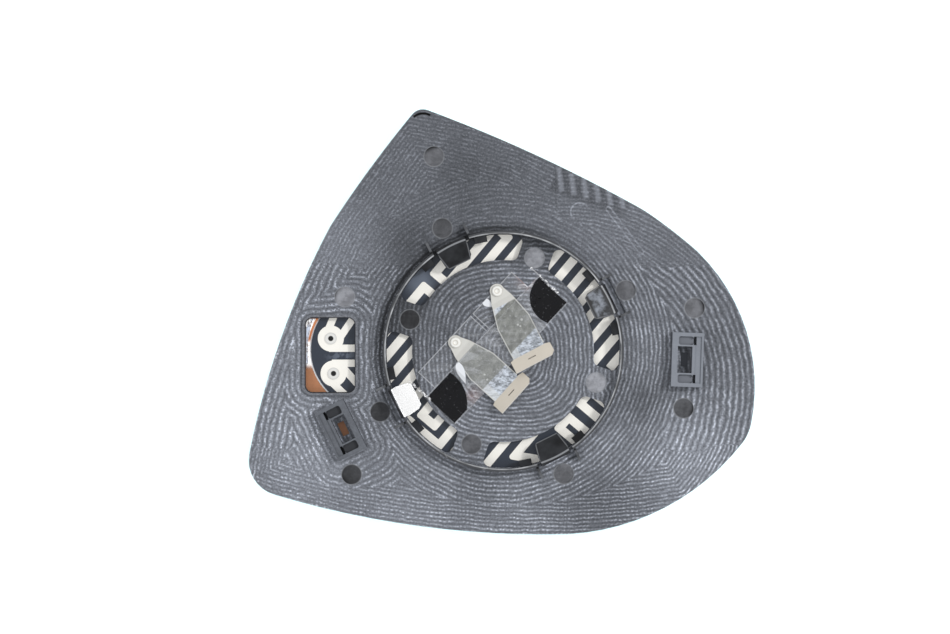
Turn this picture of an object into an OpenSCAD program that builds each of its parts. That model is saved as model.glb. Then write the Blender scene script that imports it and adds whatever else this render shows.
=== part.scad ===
// Heated car door mirror glass, back side up: convex glass, mirror coating, heater film with its
// printed track, moulded backing plate with a snap ring and two spindle sockets, and two spade
// terminals held by rivets and clear tape. Origin: ring centre on the flat disc of the plate.

/* [Glass] */
// Overall width of the glass
glass_w = 202.5; // [198:0.5:215]
// Overall height of the glass
glass_h = 170.5; // [167:0.5:180]
// Thickness of the glass
glass_t = 2; // [1.6:0.1:3]
// Radius of the convex mirror face
convex_r = 1400; // [1000:50:2500]
// Width of bare glass showing round the plate
glass_lip = 0.5; // [0.2:0.1:1.5]

/* [Heater] */
// Thickness of the mirror coating and its paint
coating_t = 0.1; // [0.05:0.05:0.2]
// Thickness of the clear adhesive sheet
adhesive_t = 0.15; // [0.1:0.05:0.3]
// Thickness of the heater film
film_t = 0.25; // [0.15:0.05:0.4]
// Thickness of the printed track
track_t = 0.1; // [0.05:0.05:0.2]
// Width of the printed track
track_w = 3.5; // [2.5:0.1:4.5]
// Distance from one track line to the next
track_pitch = 6.5; // [6:0.1:7]
// Angle at which the track lines lie
track_turn = 50; // [45:1:55]
// Radius of the heater film over the ring
film_r = 72; // [68:1:74]
// Radius of the heater film's lobe at the window
lobe_r = 23.3; // [21:0.1:24]
// Rim of clear adhesive round the heater film
adhesive_rim = 0.6; // [0.5:0.1:2]
// Radius of each contact pad in the window
pad_r = 5.2; // [4:0.1:6]

/* [Eyelets] */
// Radius of the eyelet's flange
eyelet_r = 2.4; // [1.8:0.1:3]
// Radius of the hole in the eyelet
eyelet_hole_r = 1; // [0.6:0.1:1.2]
// Wall of the eyelet's barrel and flange
eyelet_wall = 0.3; // [0.2:0.05:0.5]

/* [Backing plate] */
// Thickness of the plate
plate_t = 2; // [1.5:0.1:3]
// Radius of the disc inside the ring
disc_r = 36.4; // [35.8:0.1:38]
// Inner radius of the snap ring
ring_r = 46.8; // [46:0.1:48]
// Wall of the snap ring
ring_wall = 1.2; // [0.8:0.1:1.6]
// Height of the snap ring above the disc
ring_h = 5; // [4:0.1:7]
// Angle of the first snap hook
hook_turn = 26.3; // [20:0.1:32]
// Width of each spoke that carries the disc
spoke_w = 13; // [9:0.5:14]
// Corner radius of the slots between disc and ring
slot_corner = 2.6; // [1:0.1:3]

/* [Snap hooks] */
// Height of the hooks above the disc
hook_h = 7; // [6:0.1:9]
// Width of a hook at the ring
hook_w = 13.8; // [11:0.1:14]
// Reach of a hook inwards from the ring
hook_reach = 8.2; // [6:0.1:9]
// Height of the room under a hook's nose
hook_room = 2.4; // [1.8:0.1:3]
// Thickness of a hook's nose
hook_nose = 0.8; // [0.5:0.1:1.2]
// Slit between a hook and the ring
hook_slit = 0.9; // [0.6:0.1:1.2]
// Width of the relief slot behind a hook
relief_w = 2.8; // [2:0.1:3.5]
// Thickness of the ribs beside the relief slot
rib_t = 1; // [0.8:0.1:1.4]
// Height of these ribs above the disc
rib_h = 3; // [2.4:0.1:4]
// Angle from a hook to the stop lugs beside it
lug_turn = 15; // [14.5:0.1:17]
// Length of a stop lug along the ring
lug_l = 5; // [3.5:0.1:5.4]
// Reach of a stop lug inwards from the ring
lug_reach = 2.8; // [2:0.1:4]

/* [Window] */
// Width of the terminal window
window_w = 19.6; // [17:0.1:21]
// Height of the terminal window
window_h = 29.6; // [27:0.1:31]
// Corner radius of the window
window_r = 2.8; // [2:0.1:4]
// Centre of the window, left of the ring's centre
window_x = 69; // [67:0.1:71]
// Centre of the window, below the ring's centre
window_y = 1.6; // [0:0.1:3]
// Width of the raised rim round the window
window_rim = 1.3; // [0.8:0.1:2]
// Height of the raised rim
window_rim_h = 0.8; // [0.4:0.1:1.2]

/* [Spindle sockets] */
// Width of a socket block
socket_w = 12.5; // [12:0.1:14]
// Length of a socket block
socket_l = 21.6; // [21:0.1:24]
// Height of a socket block above the disc
socket_h = 5.6; // [5.2:0.1:7]
// Depth of the socket's well
well_d = 4.4; // [4.2:0.1:4.8]
// Width of the socket's well
well_w = 5.8; // [5.2:0.1:6.2]
// Length of the socket's well
well_l = 10.6; // [10.4:0.1:11]

/* [Terminals] */
// Thickness of the terminal strip
strip_t = 0.6; // [0.4:0.1:0.8]
// Width of a terminal strip at its tab
strip_w = 14; // [12:0.1:15]
// Length from the rivet to the bend line
strip_l = 27.4; // [26:0.1:28]
// Height by which the strip steps up off the disc
strip_step = 1; // [0.6:0.1:1.4]
// Length of the spade tab
tab_l = 6.3; // [5:0.1:6.6]
// Width of the spade tab
tab_w = 17.6; // [15:0.1:18]
// Tilt of the spade tabs
tab_tilt = 30; // [15:1:40]
// Radius of a rivet's head
rivet_head_r = 2.3; // [2:0.1:2.6]
// Radius of a rivet's shank
rivet_r = 1.4; // [1.2:0.1:1.6]
// Clearance round a rivet's shank
rivet_gap = 0.05; // [0.02:0.01:0.1]

/* [Tape] */
// Width of the clear tape
tape_w = 16; // [14:0.5:17]
// Length of the clear tape over the terminals
tape_l = 66; // [62:0.5:67]
// Thickness of the tape
tape_t = 0.1; // [0.05:0.05:0.15]

/* [Hidden] */
$fn = 96;
dome_fn = 360;

// Depths below the mirror face, layer by layer
d_glass = glass_t;
d_coating = d_glass + coating_t;
d_adhesive = d_coating + adhesive_t;
d_film = d_adhesive + film_t;
d_track = d_film + track_t;
d_plate = d_track + plate_t;
// Room above the disc that holds every raised feature
top_room = 20;
eps = 0.01;

// Outline of the glass: corners counter-clockwise as [x, y, corner radius, radius of next side]
CORNERS = [
  [-33.8, 97.7, 5.8, 462],
  [-69.3, 49.9, 40, 325],
  [-103.7, -53.4, 14.7, 365],
  [26, -73.4, 30, 95],
  [98.2, -33.4, 19.5, 75],
  [77.4, 40.4, 36.5, 216],
  [56.9, 56.2, 59, 584]
];
corner_steps = 8;
side_steps = 12;

function wrap(i) = (i + len(CORNERS)) % len(CORNERS);
function xy(p) = [p[0], p[1]];
function heading(v) = atan2(v[1], v[0]);
function polar(c, r, a) = c + r * [cos(a), sin(a)];
// Shortest signed turn from one angle to another
function turn(a, b) = let (d = b - a) d - 360 * round(d / 360);
// Centre of the arc that runs from a to b, on its left
function side_centre(a, b, r) =
  let (d = b - a, l = norm(d)) (a + b) / 2 + [-d[1], d[0]] / l * sqrt(r * r - l * l / 4);
function side_c(i) = side_centre(xy(CORNERS[wrap(i)]), xy(CORNERS[wrap(i + 1)]), CORNERS[wrap(i)][3]);
function side_r(i) = CORNERS[wrap(i)][3];
// Centre of the corner arc that touches both sides from inside
function corner_c(i) =
  let (
    c1 = side_c(i - 1), c2 = side_c(i), r = CORNERS[wrap(i)][2],
    a = side_r(i - 1) - r, b = side_r(i) - r, d = c2 - c1, l = norm(d),
    x = (a * a - b * b + l * l) / (2 * l), h = sqrt(max(a * a - x * x, 0)),
    u = d / l, n = [-u[1], u[0]], p = c1 + u * x + n * h, q = c1 + u * x - n * h,
    near = xy(CORNERS[wrap(i)])
  ) norm(p - near) < norm(q - near) ? p : q;
function corner_points(i, inset) =
  let (
    c = corner_c(i), r = CORNERS[wrap(i)][2] - inset,
    a = heading(c - side_c(i - 1)), d = turn(a, heading(c - side_c(i)))
  ) [for (k = [0 : corner_steps]) polar(c, r, a + d * k / corner_steps)];
function side_points(i, inset) =
  let (
    c = side_c(i), r = side_r(i) - inset,
    a = heading(corner_c(i) - c), d = turn(a, heading(corner_c(i + 1) - c))
  ) [for (k = [1 : side_steps - 1]) polar(c, r, a + d * k / side_steps)];
function raw_outline(inset) =
  [for (i = [0 : len(CORNERS) - 1]) each concat(corner_points(i, inset), side_points(i, inset))];
FULL = raw_outline(0);
xs = [for (p = FULL) p[0]];
ys = [for (p = FULL) p[1]];
stretch = [glass_w / (max(xs) - min(xs)), glass_h / (max(ys) - min(ys))];

// Height of a curved surface at a distance from the ring's axis
function dome_z(depth, r) = convex_r - d_plate - sqrt(pow(convex_r - depth, 2) - r * r);
function track_z(r) = dome_z(d_track, r);
function back_z(r) = dome_z(d_plate, r);

// Outline drawn a given distance inside the edge of the glass
module outline(inset = 0) {
  polygon([for (p = raw_outline(inset)) [p[0] * stretch[0], p[1] * stretch[1]]]);
}

// Solid ball that ends a given depth behind the mirror face
module dome(depth) {
  translate([0, 0, convex_r - d_plate])
    rotate([90, 0, 0])
      sphere(r = convex_r - depth, $fn = dome_fn);
}

// Upright solid over a flat shape, from below the glass to a height above the disc
module prism(top = top_room) {
  translate([0, 0, -d_plate - 1])
    linear_extrude(d_plate + 1 + top) children();
}

// Curved sheet between two depths behind the mirror face
module layer(front, back) {
  difference() {
    intersection() {
      prism() children();
      dome(front);
    }
    dome(back);
  }
}

module rounded_rect(w, h, r) {
  square([w, h - 2 * r], center = true);
  square([w - 2 * r, h], center = true);
  for (x = [-1, 1], y = [-1, 1])
    translate([x * (w / 2 - r), y * (h / 2 - r)]) circle(r);
}

// Radius and steps of the round outside corners of a band
band_corner_r = 1.1;
band_steps = 4;
function unit(v) = v / norm(v);
function left_of(v) = [-v[1], v[0]];
// Way from one point of a line to the next, which repeats the last stretch at its end
function way(p, i) = unit(p[min(i + 1, len(p) - 1)] - p[min(i, len(p) - 2)]);
// Corner of a band's side where its way turns from normal a to normal b: outside corners are round
function band_corner(p, a, b, d) =
  let (
    outside = (a[0] * b[1] - a[1] * b[0]) * d < 0, r = outside ? sign(d) * band_corner_r : 0,
    c = p + (a + b) * (d - r) / (1 + a * b)
  ) outside ? [for (k = [0 : band_steps]) c + r * unit(a + (b - a) * k / band_steps)] : [c];
// Points beside a line, a given distance to its left
function beside(p, d) = [
  for (i = [0 : len(p) - 1])
    each band_corner(p[i], left_of(way(p, max(i - 1, 0))), left_of(way(p, i)), d)
];
function backwards(p) = [for (i = [len(p) - 1 : -1 : 0]) p[i]];

// Flat band of one width along a line
module run(points, w) {
  polygon(concat(beside(points, -w / 2), backwards(beside(points, w / 2))));
}

// Repeats a feature at every snap hook, with x pointing outwards
module at_hooks(offset_angle = 0) {
  for (k = [0 : 3]) rotate(hook_turn + 90 * k + offset_angle) children();
}

// Heater film
film_x = 10;
film_y = 5;
film_inset = 4;
lobe_x = -53.5;
lobe_y = 0.5;

module film_shape(rim = 0) {
  intersection() {
    outline(film_inset - rim);
    translate([film_x, film_y]) circle(film_r + rim);
  }
  translate([lobe_x, lobe_y]) circle(lobe_r + rim);
}

// Printed track. Line numbers count across the track; runs are [along, line number] points.
first_line = -40.8;
RUNS = [
  [[-34, 0], [-0.7, 0], [-0.7, 1], [-36, 1]],
  [
    [34, 0], [6.3, 0], [6.3, 1], [36, 1], [36, 2], [-42, 2], [-42, 3], [46, 3], [46, 4],
    [-45.5, 4], [-45.5, 7], [48, 7], [48, 8], [-43, 8], [-43, 9], [48, 9], [48, 10], [-50, 10]
  ],
  [[50, 5], [-40.5, 5], [-40.5, 6], [50, 6]],
  [[-24, 12.3], [-29, 11], [44, 11], [44, 12], [22, 12]],
  [[-14.9, 12], [-14.9, 14]],
  [[-9.1, 14], [-9.1, 12], [-3.4, 12], [-3.4, 14], [3.8, 14], [3.8, 12], [10.3, 12], [10.3, 14]],
  [[16.1, 14], [16.1, 12]]
];
pad_upper = [-68.9, 5];
pad_lower = [-67.8, -9];
// Leads that join the pads to the track, in the plate's own directions
LEADS = [
  [[-70.4, 7.3], [-64.4, 21.6]],
  [[-66.5, 3.5], [-54.6, 21]],
  [[-69.6, 1.1], [-52.6, 1.1]],
  [[-68.5, -4.9], [-49.4, -4.9]],
  [[-64.6, -6], [-52, -20.3]],
  [[-69.6, -11.4], [-58, -22.7]]
];
lead_w = 2.9;

function track_point(p) = [
  p[0] * cos(track_turn) + (first_line + p[1] * track_pitch) * sin(track_turn),
  p[0] * sin(track_turn) - (first_line + p[1] * track_pitch) * cos(track_turn)
];

module track_shape() {
  for (r = RUNS) run([for (p = r) track_point(p)], track_w);
  for (l = LEADS) run(l, lead_w);
  for (p = [pad_upper, pad_lower]) translate(p) circle(pad_r);
}

// Backing plate
ring_out_r = ring_r + ring_wall;
hook_lean = 0.8;
hook_tip_w = 9;
hook_cut = 1.6;
relief_l = hook_w + 2 * hook_slit;
relief_floor = -0.4;
rib_l = 5;
rib_w = relief_l + rib_t;
lug_h = ring_h - 1;
lug_base = 1;
slot_ledge = 0.2;
slot_top = back_z(ring_r);
mark_r = 4;
mark_d = 0.2;
hook_mark_r = 54.7;
spoke_mark_r = 39.3;
// Ejector marks that stand clear of the ring
MARKS = [[-27.6, 77.6], [-63.2, 21.6], [-60.4, -49.2], [76.4, 17.2], [72, -22.8]];
// Sockets as [x, y, angle]
SOCKETS = [[-64.6, -31.4, 26.3], [73.3, -3.4, 178]];
well_x = 1.1;
well_step = 0.6;
well_step_w = 4;
well_step_l = 7.8;
ledge_w = 6;
ledge_l = 3.4;
ledge_x = 0.7;
ledge_y = 7.6;
ledge_d = 1.2;
ledge_r = 0.9;
slit_w = 1.1;
slit_d = 3;
edge_wall = 0.8;
edge_d = 0.5;
hole_w = 2.8;
hole_l = 5.6;
hole_x = 0.85;
// Crescent slit at the top corner as [x, y, radius, start angle, sweep]
crescent = [-31.8, 88.6, 6.4, 62, 68];
crescent_w = 0.9;

// Directions measured from a hook: along the next spoke, across it, and back towards the axis
spoke_angle = 45;
across_spoke = spoke_angle + 90;
to_axis = 180;

// Round corner of a slot at a radius from the ring's axis: centre angle, measured from the hook
function slot_corner_angle(r) = spoke_angle - asin((spoke_w / 2 + slot_corner) / r);
function slot_arc(c, r, a, b, n) = [for (k = [0 : n]) polar(c, r, a + (b - a) * k / n)];
function slot_half() =
  let (
    out = ring_r - slot_ledge, f = slot_corner, ri = disc_r + f, ro = out - f,
    a = slot_corner_angle(ri), b = slot_corner_angle(ro)
  ) concat(
    slot_arc([0, 0], disc_r, 0, a, 6),
    slot_arc(polar([0, 0], ri, a), f, a + to_axis, across_spoke, 6),
    slot_arc(polar([0, 0], ro, b), f, across_spoke, b, 6),
    slot_arc([0, 0], out, b, 0, 8)
  );

// Slots between disc and ring, with rounded corners
module ring_slots() {
  half = slot_half();
  inner = [for (i = [1 : len(half) - 2]) half[i]];
  at_hooks() polygon(concat(half, [for (p = backwards(inner)) [p[0], -p[1]]]));
}

// Section of a snap hook: x outwards from the ring's axis, y up
module hook_section() {
  tip = ring_r - hook_reach;
  nose_top = hook_room + hook_nose;
  polygon([
    [ring_out_r, -plate_t],
    [ring_out_r, hook_h],
    [ring_r, hook_h],
    [tip, nose_top],
    [tip, hook_room],
    [ring_r, hook_room],
    [ring_r, -plate_t]
  ]);
}

// Plan of a snap hook: it narrows inwards and its inner corners are cut off
module hook_plan() {
  tip = ring_r - hook_reach;
  shoulder = (hook_tip_w + hook_w) / 4;
  polygon([
    [ring_out_r + 1, -hook_w / 2],
    [tip + hook_cut, -shoulder],
    [tip, -hook_tip_w / 2],
    [tip, hook_tip_w / 2],
    [tip + hook_cut, shoulder],
    [ring_out_r + 1, hook_w / 2]
  ]);
}

// Front view of a snap hook, whose sides lean in towards the top
module hook_front() {
  polygon([
    [-hook_w / 2, -plate_t], [hook_w / 2, -plate_t],
    [hook_w / 2 - hook_lean, hook_h], [hook_lean - hook_w / 2, hook_h]
  ]);
}

module hook() {
  intersection() {
    rotate([90, 0, 0])
      translate([0, 0, -hook_w])
        linear_extrude(2 * hook_w) hook_section();
    rotate([90, 0, 90]) linear_extrude(ring_out_r + 1) hook_front();
    prism() hook_plan();
  }
}

module ring_wall_solid() {
  difference() {
    translate([0, 0, -plate_t]) cylinder(r = ring_out_r, h = ring_h + plate_t);
    translate([0, 0, -plate_t - 1]) cylinder(r = ring_r, h = ring_h + plate_t + 2);
    at_hooks() translate([disc_r, -relief_l / 2, 0]) cube([ring_out_r, relief_l, top_room]);
  }
}

module lugs() {
  for (side = [-1, 1])
    at_hooks(side * lug_turn)
      translate([ring_r - lug_reach, -lug_l / 2, lug_base])
        cube([lug_reach + ring_wall / 2, lug_l, lug_h - lug_base]);
}

module ribs() {
  for (side = [-1, 1])
    at_hooks()
      translate([ring_r + ring_wall / 2, side * rib_w / 2 - rib_t / 2, -plate_t])
        cube([rib_l, rib_t, rib_h + plate_t]);
}

module at_sockets() {
  for (s = SOCKETS) translate([s[0], s[1], 0]) rotate(s[2]) children();
}

// Cube that stands on a given height over a centred rectangle
module block(x, y, w, l, from) {
  translate([x - w / 2, y - l / 2, from]) cube([w, l, 2 * top_room]);
}

module socket_pocket() {
  slit_x = ledge_x - (ledge_w + slit_w) / 2;
  edge_w = socket_w / 2 - edge_wall + slit_x;
  floor = socket_h - well_d;
  block(well_x, 0, well_w, well_l, floor);
  block(hole_x, 0, well_step_w, well_step_l, floor - well_step);
  block(hole_x, 0, hole_w, hole_l, -top_room);
  block(slit_x - edge_w / 2, 0, edge_w, 2 * ledge_y + ledge_l, socket_h - edge_d);
  for (side = [-1, 1]) {
    translate([ledge_x, side * ledge_y, socket_h - ledge_d])
      linear_extrude(top_room) rounded_rect(ledge_w, ledge_l, ledge_r);
    block(slit_x, side * ledge_y, slit_w + eps, ledge_l, socket_h - slit_d);
  }
}

module crescent_shape() {
  r = crescent[2];
  translate([crescent[0] * stretch[0], crescent[1] * stretch[1]])
    difference() {
      circle(r);
      circle(r - crescent_w);
      rotate(crescent[3]) translate([-2 * r, -2 * r]) square([4 * r, 2 * r]);
      rotate(crescent[3] + crescent[4]) translate([-2 * r, 0]) square([4 * r, 2 * r]);
    }
}

module window_shape(grow = 0) {
  translate([-window_x, -window_y])
    rounded_rect(window_w + 2 * grow, window_h + 2 * grow, window_r + grow);
}

// Flat-bottomed mark pressed into the plate's back
module mark_cut(r) {
  translate([0, 0, back_z(r) - mark_d]) cylinder(r = mark_r, h = top_room);
}

module backing_plate() {
  color("#2b2d31")
  intersection() {
    difference() {
      union() {
        difference() {
          prism() outline(glass_lip);
          dome(d_plate);
        }
        layer(d_track, d_plate + window_rim_h) window_shape(window_rim);
        ring_wall_solid();
        at_hooks() hook();
        lugs();
        ribs();
        at_sockets()
          translate([-socket_w / 2, -socket_l / 2, -plate_t]) cube([socket_w, socket_l, socket_h + plate_t]);
      }
      // The slots stay clear of the hooks and lugs above them
      translate([0, 0, -top_room]) linear_extrude(top_room + slot_top) ring_slots();
      at_hooks() translate([ring_out_r, -relief_l / 2, relief_floor]) cube([relief_w, relief_l, top_room]);
      prism() window_shape();
      prism() crescent_shape();
      at_sockets() socket_pocket();
      at_hooks(spoke_angle) translate([spoke_mark_r, 0, 0]) mark_cut(spoke_mark_r);
      at_hooks() translate([hook_mark_r, 0, 0]) mark_cut(hook_mark_r);
      for (m = MARKS) translate([m[0], m[1], 0]) mark_cut(norm(m));
      for (t = [upper_rivet, lower_rivet])
        translate([t[0], t[1], -top_room]) cylinder(r = rivet_r + rivet_gap, h = 2 * top_room);
    }
    dome(d_track);
  }
}

// Terminals: rivet places, and the angle of each strip from the rivet to its tab
upper_rivet = [-2.4, 24];
lower_rivet = [-19, 3.4];
upper_turn = -62.2;
lower_turn = -41.9;
foot_r = 2.9;
ramp_from = 3.8;
ramp_to = 5.8;
neck_w = 9;
flare_end = 14;
tab_shift = 0.3;
tab_chamfer = 1.6;
// Set-in of the tab's root from the strip's sides, and how far out the tab reaches its full width
tab_root = 0.9;
tab_flare = 0.9;
mark_l = 3.3;
mark_w = 0.5;
notch_r = 0.6;
rivet_rim = 0.3;
rivet_bevel = 0.6;
dimple_r = 1.1;

module strip_plan() {
  circle(foot_r);
  difference() {
    polygon([
      [0, -foot_r], [ramp_from, -neck_w / 2], [flare_end, -strip_w / 2], [strip_l, -strip_w / 2],
      [strip_l, strip_w / 2], [flare_end, strip_w / 2], [ramp_from, neck_w / 2], [0, foot_r]
    ]);
    translate([strip_l, strip_w / 2]) circle(notch_r);
  }
}

// Height of a strip's foot, which lies on the tape under it
function strip_base(rivet) = back_z(norm(rivet) + foot_r) + tape_t;

// Side view of the strip: foot on the disc, step, then the raised body
module strip_section(top) {
  polygon([
    [-foot_r - 1, 0], [ramp_from, 0], [ramp_to, strip_step], [top, strip_step],
    [top, strip_step + strip_t], [ramp_to, strip_step + strip_t], [ramp_from, strip_t],
    [-foot_r - 1, strip_t]
  ]);
}

module tab() {
  difference() {
    linear_extrude(strip_t)
      polygon([
        [0, tab_root - strip_w / 2], [tab_flare, tab_shift - tab_w / 2], [tab_l, tab_shift - tab_w / 2],
        [tab_l, tab_shift + tab_w / 2 - tab_chamfer], [tab_l - tab_chamfer, tab_shift + tab_w / 2],
        [tab_flare, tab_shift + tab_w / 2], [0, strip_w / 2 - tab_root]
      ]);
    translate([tab_l / 2 - mark_w / 2, -mark_l / 2, -1]) cube([mark_w, mark_l, strip_t + 2]);
  }
}

module terminal(rivet, angle) {
  color("#c9c6bd")
  translate([rivet[0], rivet[1], strip_base(rivet)])
    rotate(angle)
      difference() {
        union() {
          intersection() {
            linear_extrude(top_room) strip_plan();
            rotate([90, 0, 0]) translate([0, 0, -strip_w]) linear_extrude(2 * strip_w)
              strip_section(strip_l);
          }
          translate([strip_l, 0, strip_step]) rotate([0, -tab_tilt, 0]) tab();
        }
        translate([0, 0, -1]) cylinder(r = rivet_r + rivet_gap, h = strip_t + 2);
      }
}

// Rivet: domed head with a dimple, shank through strip and plate, foot on the track
module rivet(place) {
  base = strip_base(place) + strip_t;
  foot = track_z(norm(place) + rivet_r);
  color("#d8d2c2")
  translate([place[0], place[1], 0])
    difference() {
      union() {
        translate([0, 0, foot]) cylinder(r = rivet_r, h = base - foot + eps);
        translate([0, 0, base]) cylinder(r = rivet_head_r, h = rivet_rim);
        translate([0, 0, base + rivet_rim])
          cylinder(r1 = rivet_head_r, r2 = rivet_head_r - rivet_bevel, h = rivet_bevel);
      }
      translate([0, 0, base + rivet_rim + rivet_bevel + dimple_r / 2]) sphere(r = dimple_r);
    }
}

module eyelet(place) {
  color("#b9b6a8")
  difference() {
    union() {
      layer(d_track, d_track + eyelet_wall) translate(place) circle(eyelet_r);
      layer(d_adhesive, d_track + eyelet_wall) translate(place) circle(eyelet_hole_r + eyelet_wall);
    }
    prism() translate(place) circle(eyelet_hole_r);
  }
}

module eyelet_holes() {
  for (p = [pad_upper, pad_lower]) translate(p) circle(eyelet_hole_r + eyelet_wall);
}

// Tape, laid along one line across the disc: x along the tape, y across it
tape_place = [-2.5, 0.4];
tape_turn = 47.1;
over_left = -16.6;
over_right = 21.2;
tape_ramp = 3.4;
under_y = 9;
under_left = [-28, 3];
under_right = [4, 27];

module tape_frame() {
  translate(tape_place) rotate(tape_turn) children();
}

// Height at which the upper tape lies on the disc, past the strips
function tape_z(x) = back_z(norm([abs(x) + norm(tape_place), tape_w / 2])) + tape_t;
// Line of the tape seen from its side
function tape_line(lift) =
  let (high = strip_base(upper_rivet) + strip_step + strip_t, left = over_left - tape_ramp,
    right = over_right + tape_ramp) [
    [-tape_l / 2, tape_z(tape_l / 2) + lift], [left, tape_z(left) + lift], [over_left, high + lift],
    [over_right, high + lift], [right, tape_z(right) + lift], [tape_l / 2, tape_z(tape_l / 2) + lift]
  ];

module tape_over() {
  color([0.85, 0.87, 0.9, 0.4])
  tape_frame()
    rotate([90, 0, 0]) translate([0, 0, -tape_w / 2]) linear_extrude(tape_w)
      polygon(concat(tape_line(0), backwards(tape_line(tape_t))));
}

module tape_under(span) {
  color([0.85, 0.87, 0.9, 0.4])
  layer(d_plate, d_plate + tape_t)
    difference() {
      tape_frame() translate([span[0], under_y - tape_w / 2]) square([span[1] - span[0], tape_w]);
      for (p = [upper_rivet, lower_rivet]) translate(p) circle(rivet_r + rivet_gap);
    }
}

module mirror_glass() color("#bfe3e0") layer(0, d_glass) outline();

module mirror_coating() color("#c8784a") layer(d_glass, d_coating) outline(glass_lip / 2);

module adhesive_sheet() color([0.9, 0.92, 0.95, 0.5]) layer(d_coating, d_adhesive) film_shape(adhesive_rim);

module heater_film()
  color("#353c4a")
  layer(d_adhesive, d_film) difference() { film_shape(); eyelet_holes(); }

module heater_track()
  color("#e8e4da")
  layer(d_film, d_track)
    difference() {
      intersection() { track_shape(); film_shape(); }
      eyelet_holes();
    }

mirror_glass();
mirror_coating();
adhesive_sheet();
heater_film();
heater_track();
eyelet(pad_upper);  // eyelet_upper
eyelet(pad_lower);  // eyelet_lower
backing_plate();
terminal(upper_rivet, upper_turn);  // terminal_upper
terminal(lower_rivet, lower_turn);  // terminal_lower
rivet(upper_rivet);  // rivet_upper
rivet(lower_rivet);  // rivet_lower
tape_over();
tape_under(under_left);  // tape_under_left
tape_under(under_right);  // tape_under_right
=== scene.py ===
"""Looks of a heated car door mirror glass, lying on its face with the back of its plate up.

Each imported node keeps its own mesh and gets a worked-out material. The new pieces are the crumpled
clear film in the window, the two cut ends of the tape, the floor, lamps and camera.
Lengths are in metres, with the origin at the snap ring's centre on the back of the plate.
"""

import math

import bpy
import numpy as np
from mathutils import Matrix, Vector


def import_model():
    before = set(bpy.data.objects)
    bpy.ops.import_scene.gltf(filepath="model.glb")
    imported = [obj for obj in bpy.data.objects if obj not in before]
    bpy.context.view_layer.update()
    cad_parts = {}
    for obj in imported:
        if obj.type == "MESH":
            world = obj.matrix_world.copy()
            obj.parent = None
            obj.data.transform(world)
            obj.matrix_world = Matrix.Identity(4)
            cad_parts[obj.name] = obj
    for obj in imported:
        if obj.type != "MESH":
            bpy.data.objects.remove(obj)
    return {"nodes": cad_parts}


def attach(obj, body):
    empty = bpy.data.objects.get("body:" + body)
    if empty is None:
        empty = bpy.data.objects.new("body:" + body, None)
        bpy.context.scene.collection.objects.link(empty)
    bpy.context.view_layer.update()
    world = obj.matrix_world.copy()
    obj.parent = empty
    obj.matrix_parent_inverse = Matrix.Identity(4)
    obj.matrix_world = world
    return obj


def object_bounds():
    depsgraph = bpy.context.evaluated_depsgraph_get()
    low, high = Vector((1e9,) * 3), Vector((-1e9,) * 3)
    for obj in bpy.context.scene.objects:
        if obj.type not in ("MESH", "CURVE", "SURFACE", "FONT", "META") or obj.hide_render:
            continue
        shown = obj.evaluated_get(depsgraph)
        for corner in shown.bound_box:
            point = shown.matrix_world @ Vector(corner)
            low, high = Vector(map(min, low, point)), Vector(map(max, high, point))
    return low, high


MM = 0.001

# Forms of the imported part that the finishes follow, in millimetres and degrees.
# Each side of the glass runs from one point to the next with one radius. Two sides have a name:
# the one that the cutter left out, and the one whose centre it ran round. A distance of
# OUT_OF_PLAY is never the nearest
SIDE_NOT_CUT = 95
TIGHT_SIDE = 75
OUT_OF_PLAY = 200
SIDES = [
    ((-33.8, 97.7), (-69.3, 49.9), 462),
    ((-69.3, 49.9), (-103.7, -53.4), 325),
    ((-103.7, -53.4), (26, -73.4), 365),
    ((26, -73.4), (98.2, -33.4), SIDE_NOT_CUT),
    ((98.2, -33.4), (77.4, 40.4), TIGHT_SIDE),
    ((77.4, 40.4), (56.9, 56.2), 216),
    ((56.9, 56.2), (-33.8, 97.7), 584),
]
# The ring's wall, the middle of the belt that it shares with the hooks, and the reliefs' end
RING_IN = 46.8
RING_OUT = 48.0
RING_H = 5.0
SNAP_MIDDLE = 44.9
RELIEF_END = 51.2
# The disc inside the ring, and the hooks: angle of the first, nose and upper slope
DISC_R = 36.4
HOOK_TURN = 26.3
HOOK_TIP_R = 38.6
HOOK_SLOPE = 24.9
# Middle, half width and half height of the window, and its corners' radius
WINDOW = (-69, -1.6, 9.8, 14.8)
WINDOW_CORNER = 2.8
# Middle and angle of each socket block, and half its width and length
SOCKETS = [(-64.6, -31.4, 26.3), (73.3, -3.4, 178)]
SOCKET_HALF = (6.25, 10.8)
# Radius of the ejector marks, angle from a hook to half-way to the next, and how far from the
# ring's centre the spokes end and the marks on spokes and behind hooks lie
MARK_R = 4.0
HALF_WAY = 45
SPOKE_R = 46
SPOKE_MARK_R = 39.3
HOOK_MARK_R = 54.7
# Places of the eyelets, and middle and radius of the film's lobe that they stand on
PADS = [(-68.9, 5), (-67.8, -9)]
LOBE = (-53.5, 0.5, 23.3)
# Radius of the plate's curved back
PLATE_R = 1395.4
# Each terminal's rivet and angle, and the middle and half width of the tape stuck down on it
TERMINALS = {"terminal_upper": (-2.4, 24, -62.2, 2.3, 7.5), "terminal_lower": (-19, 3.4, -41.9, 1.2, 7.8)}
# Bubbles under the tape on the terminals, as x, y and radius
BUBBLES = [(7.4, 12.6, 0.55), (5.9, 10.5, 0.4), (6.9, 10.0, 0.35), (-7.4, -9.4, 0.4), (-6.3, -11.4, 0.4)]
# How far along a terminal, from its rivet, its ramp, flare and strip end
RAMP_END = 5.8
FLARE_END = 14.0
STRIP_L = 27.4
# The over tape's middle, angle, width and length, and the under tapes' offset across it
TAPE_PLACE = (-2.5, 0.4)
TAPE_TURN = 47.1
TAPE_W = 16.0
TAPE_L = 66.0
UNDER_Y = 9.0
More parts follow.
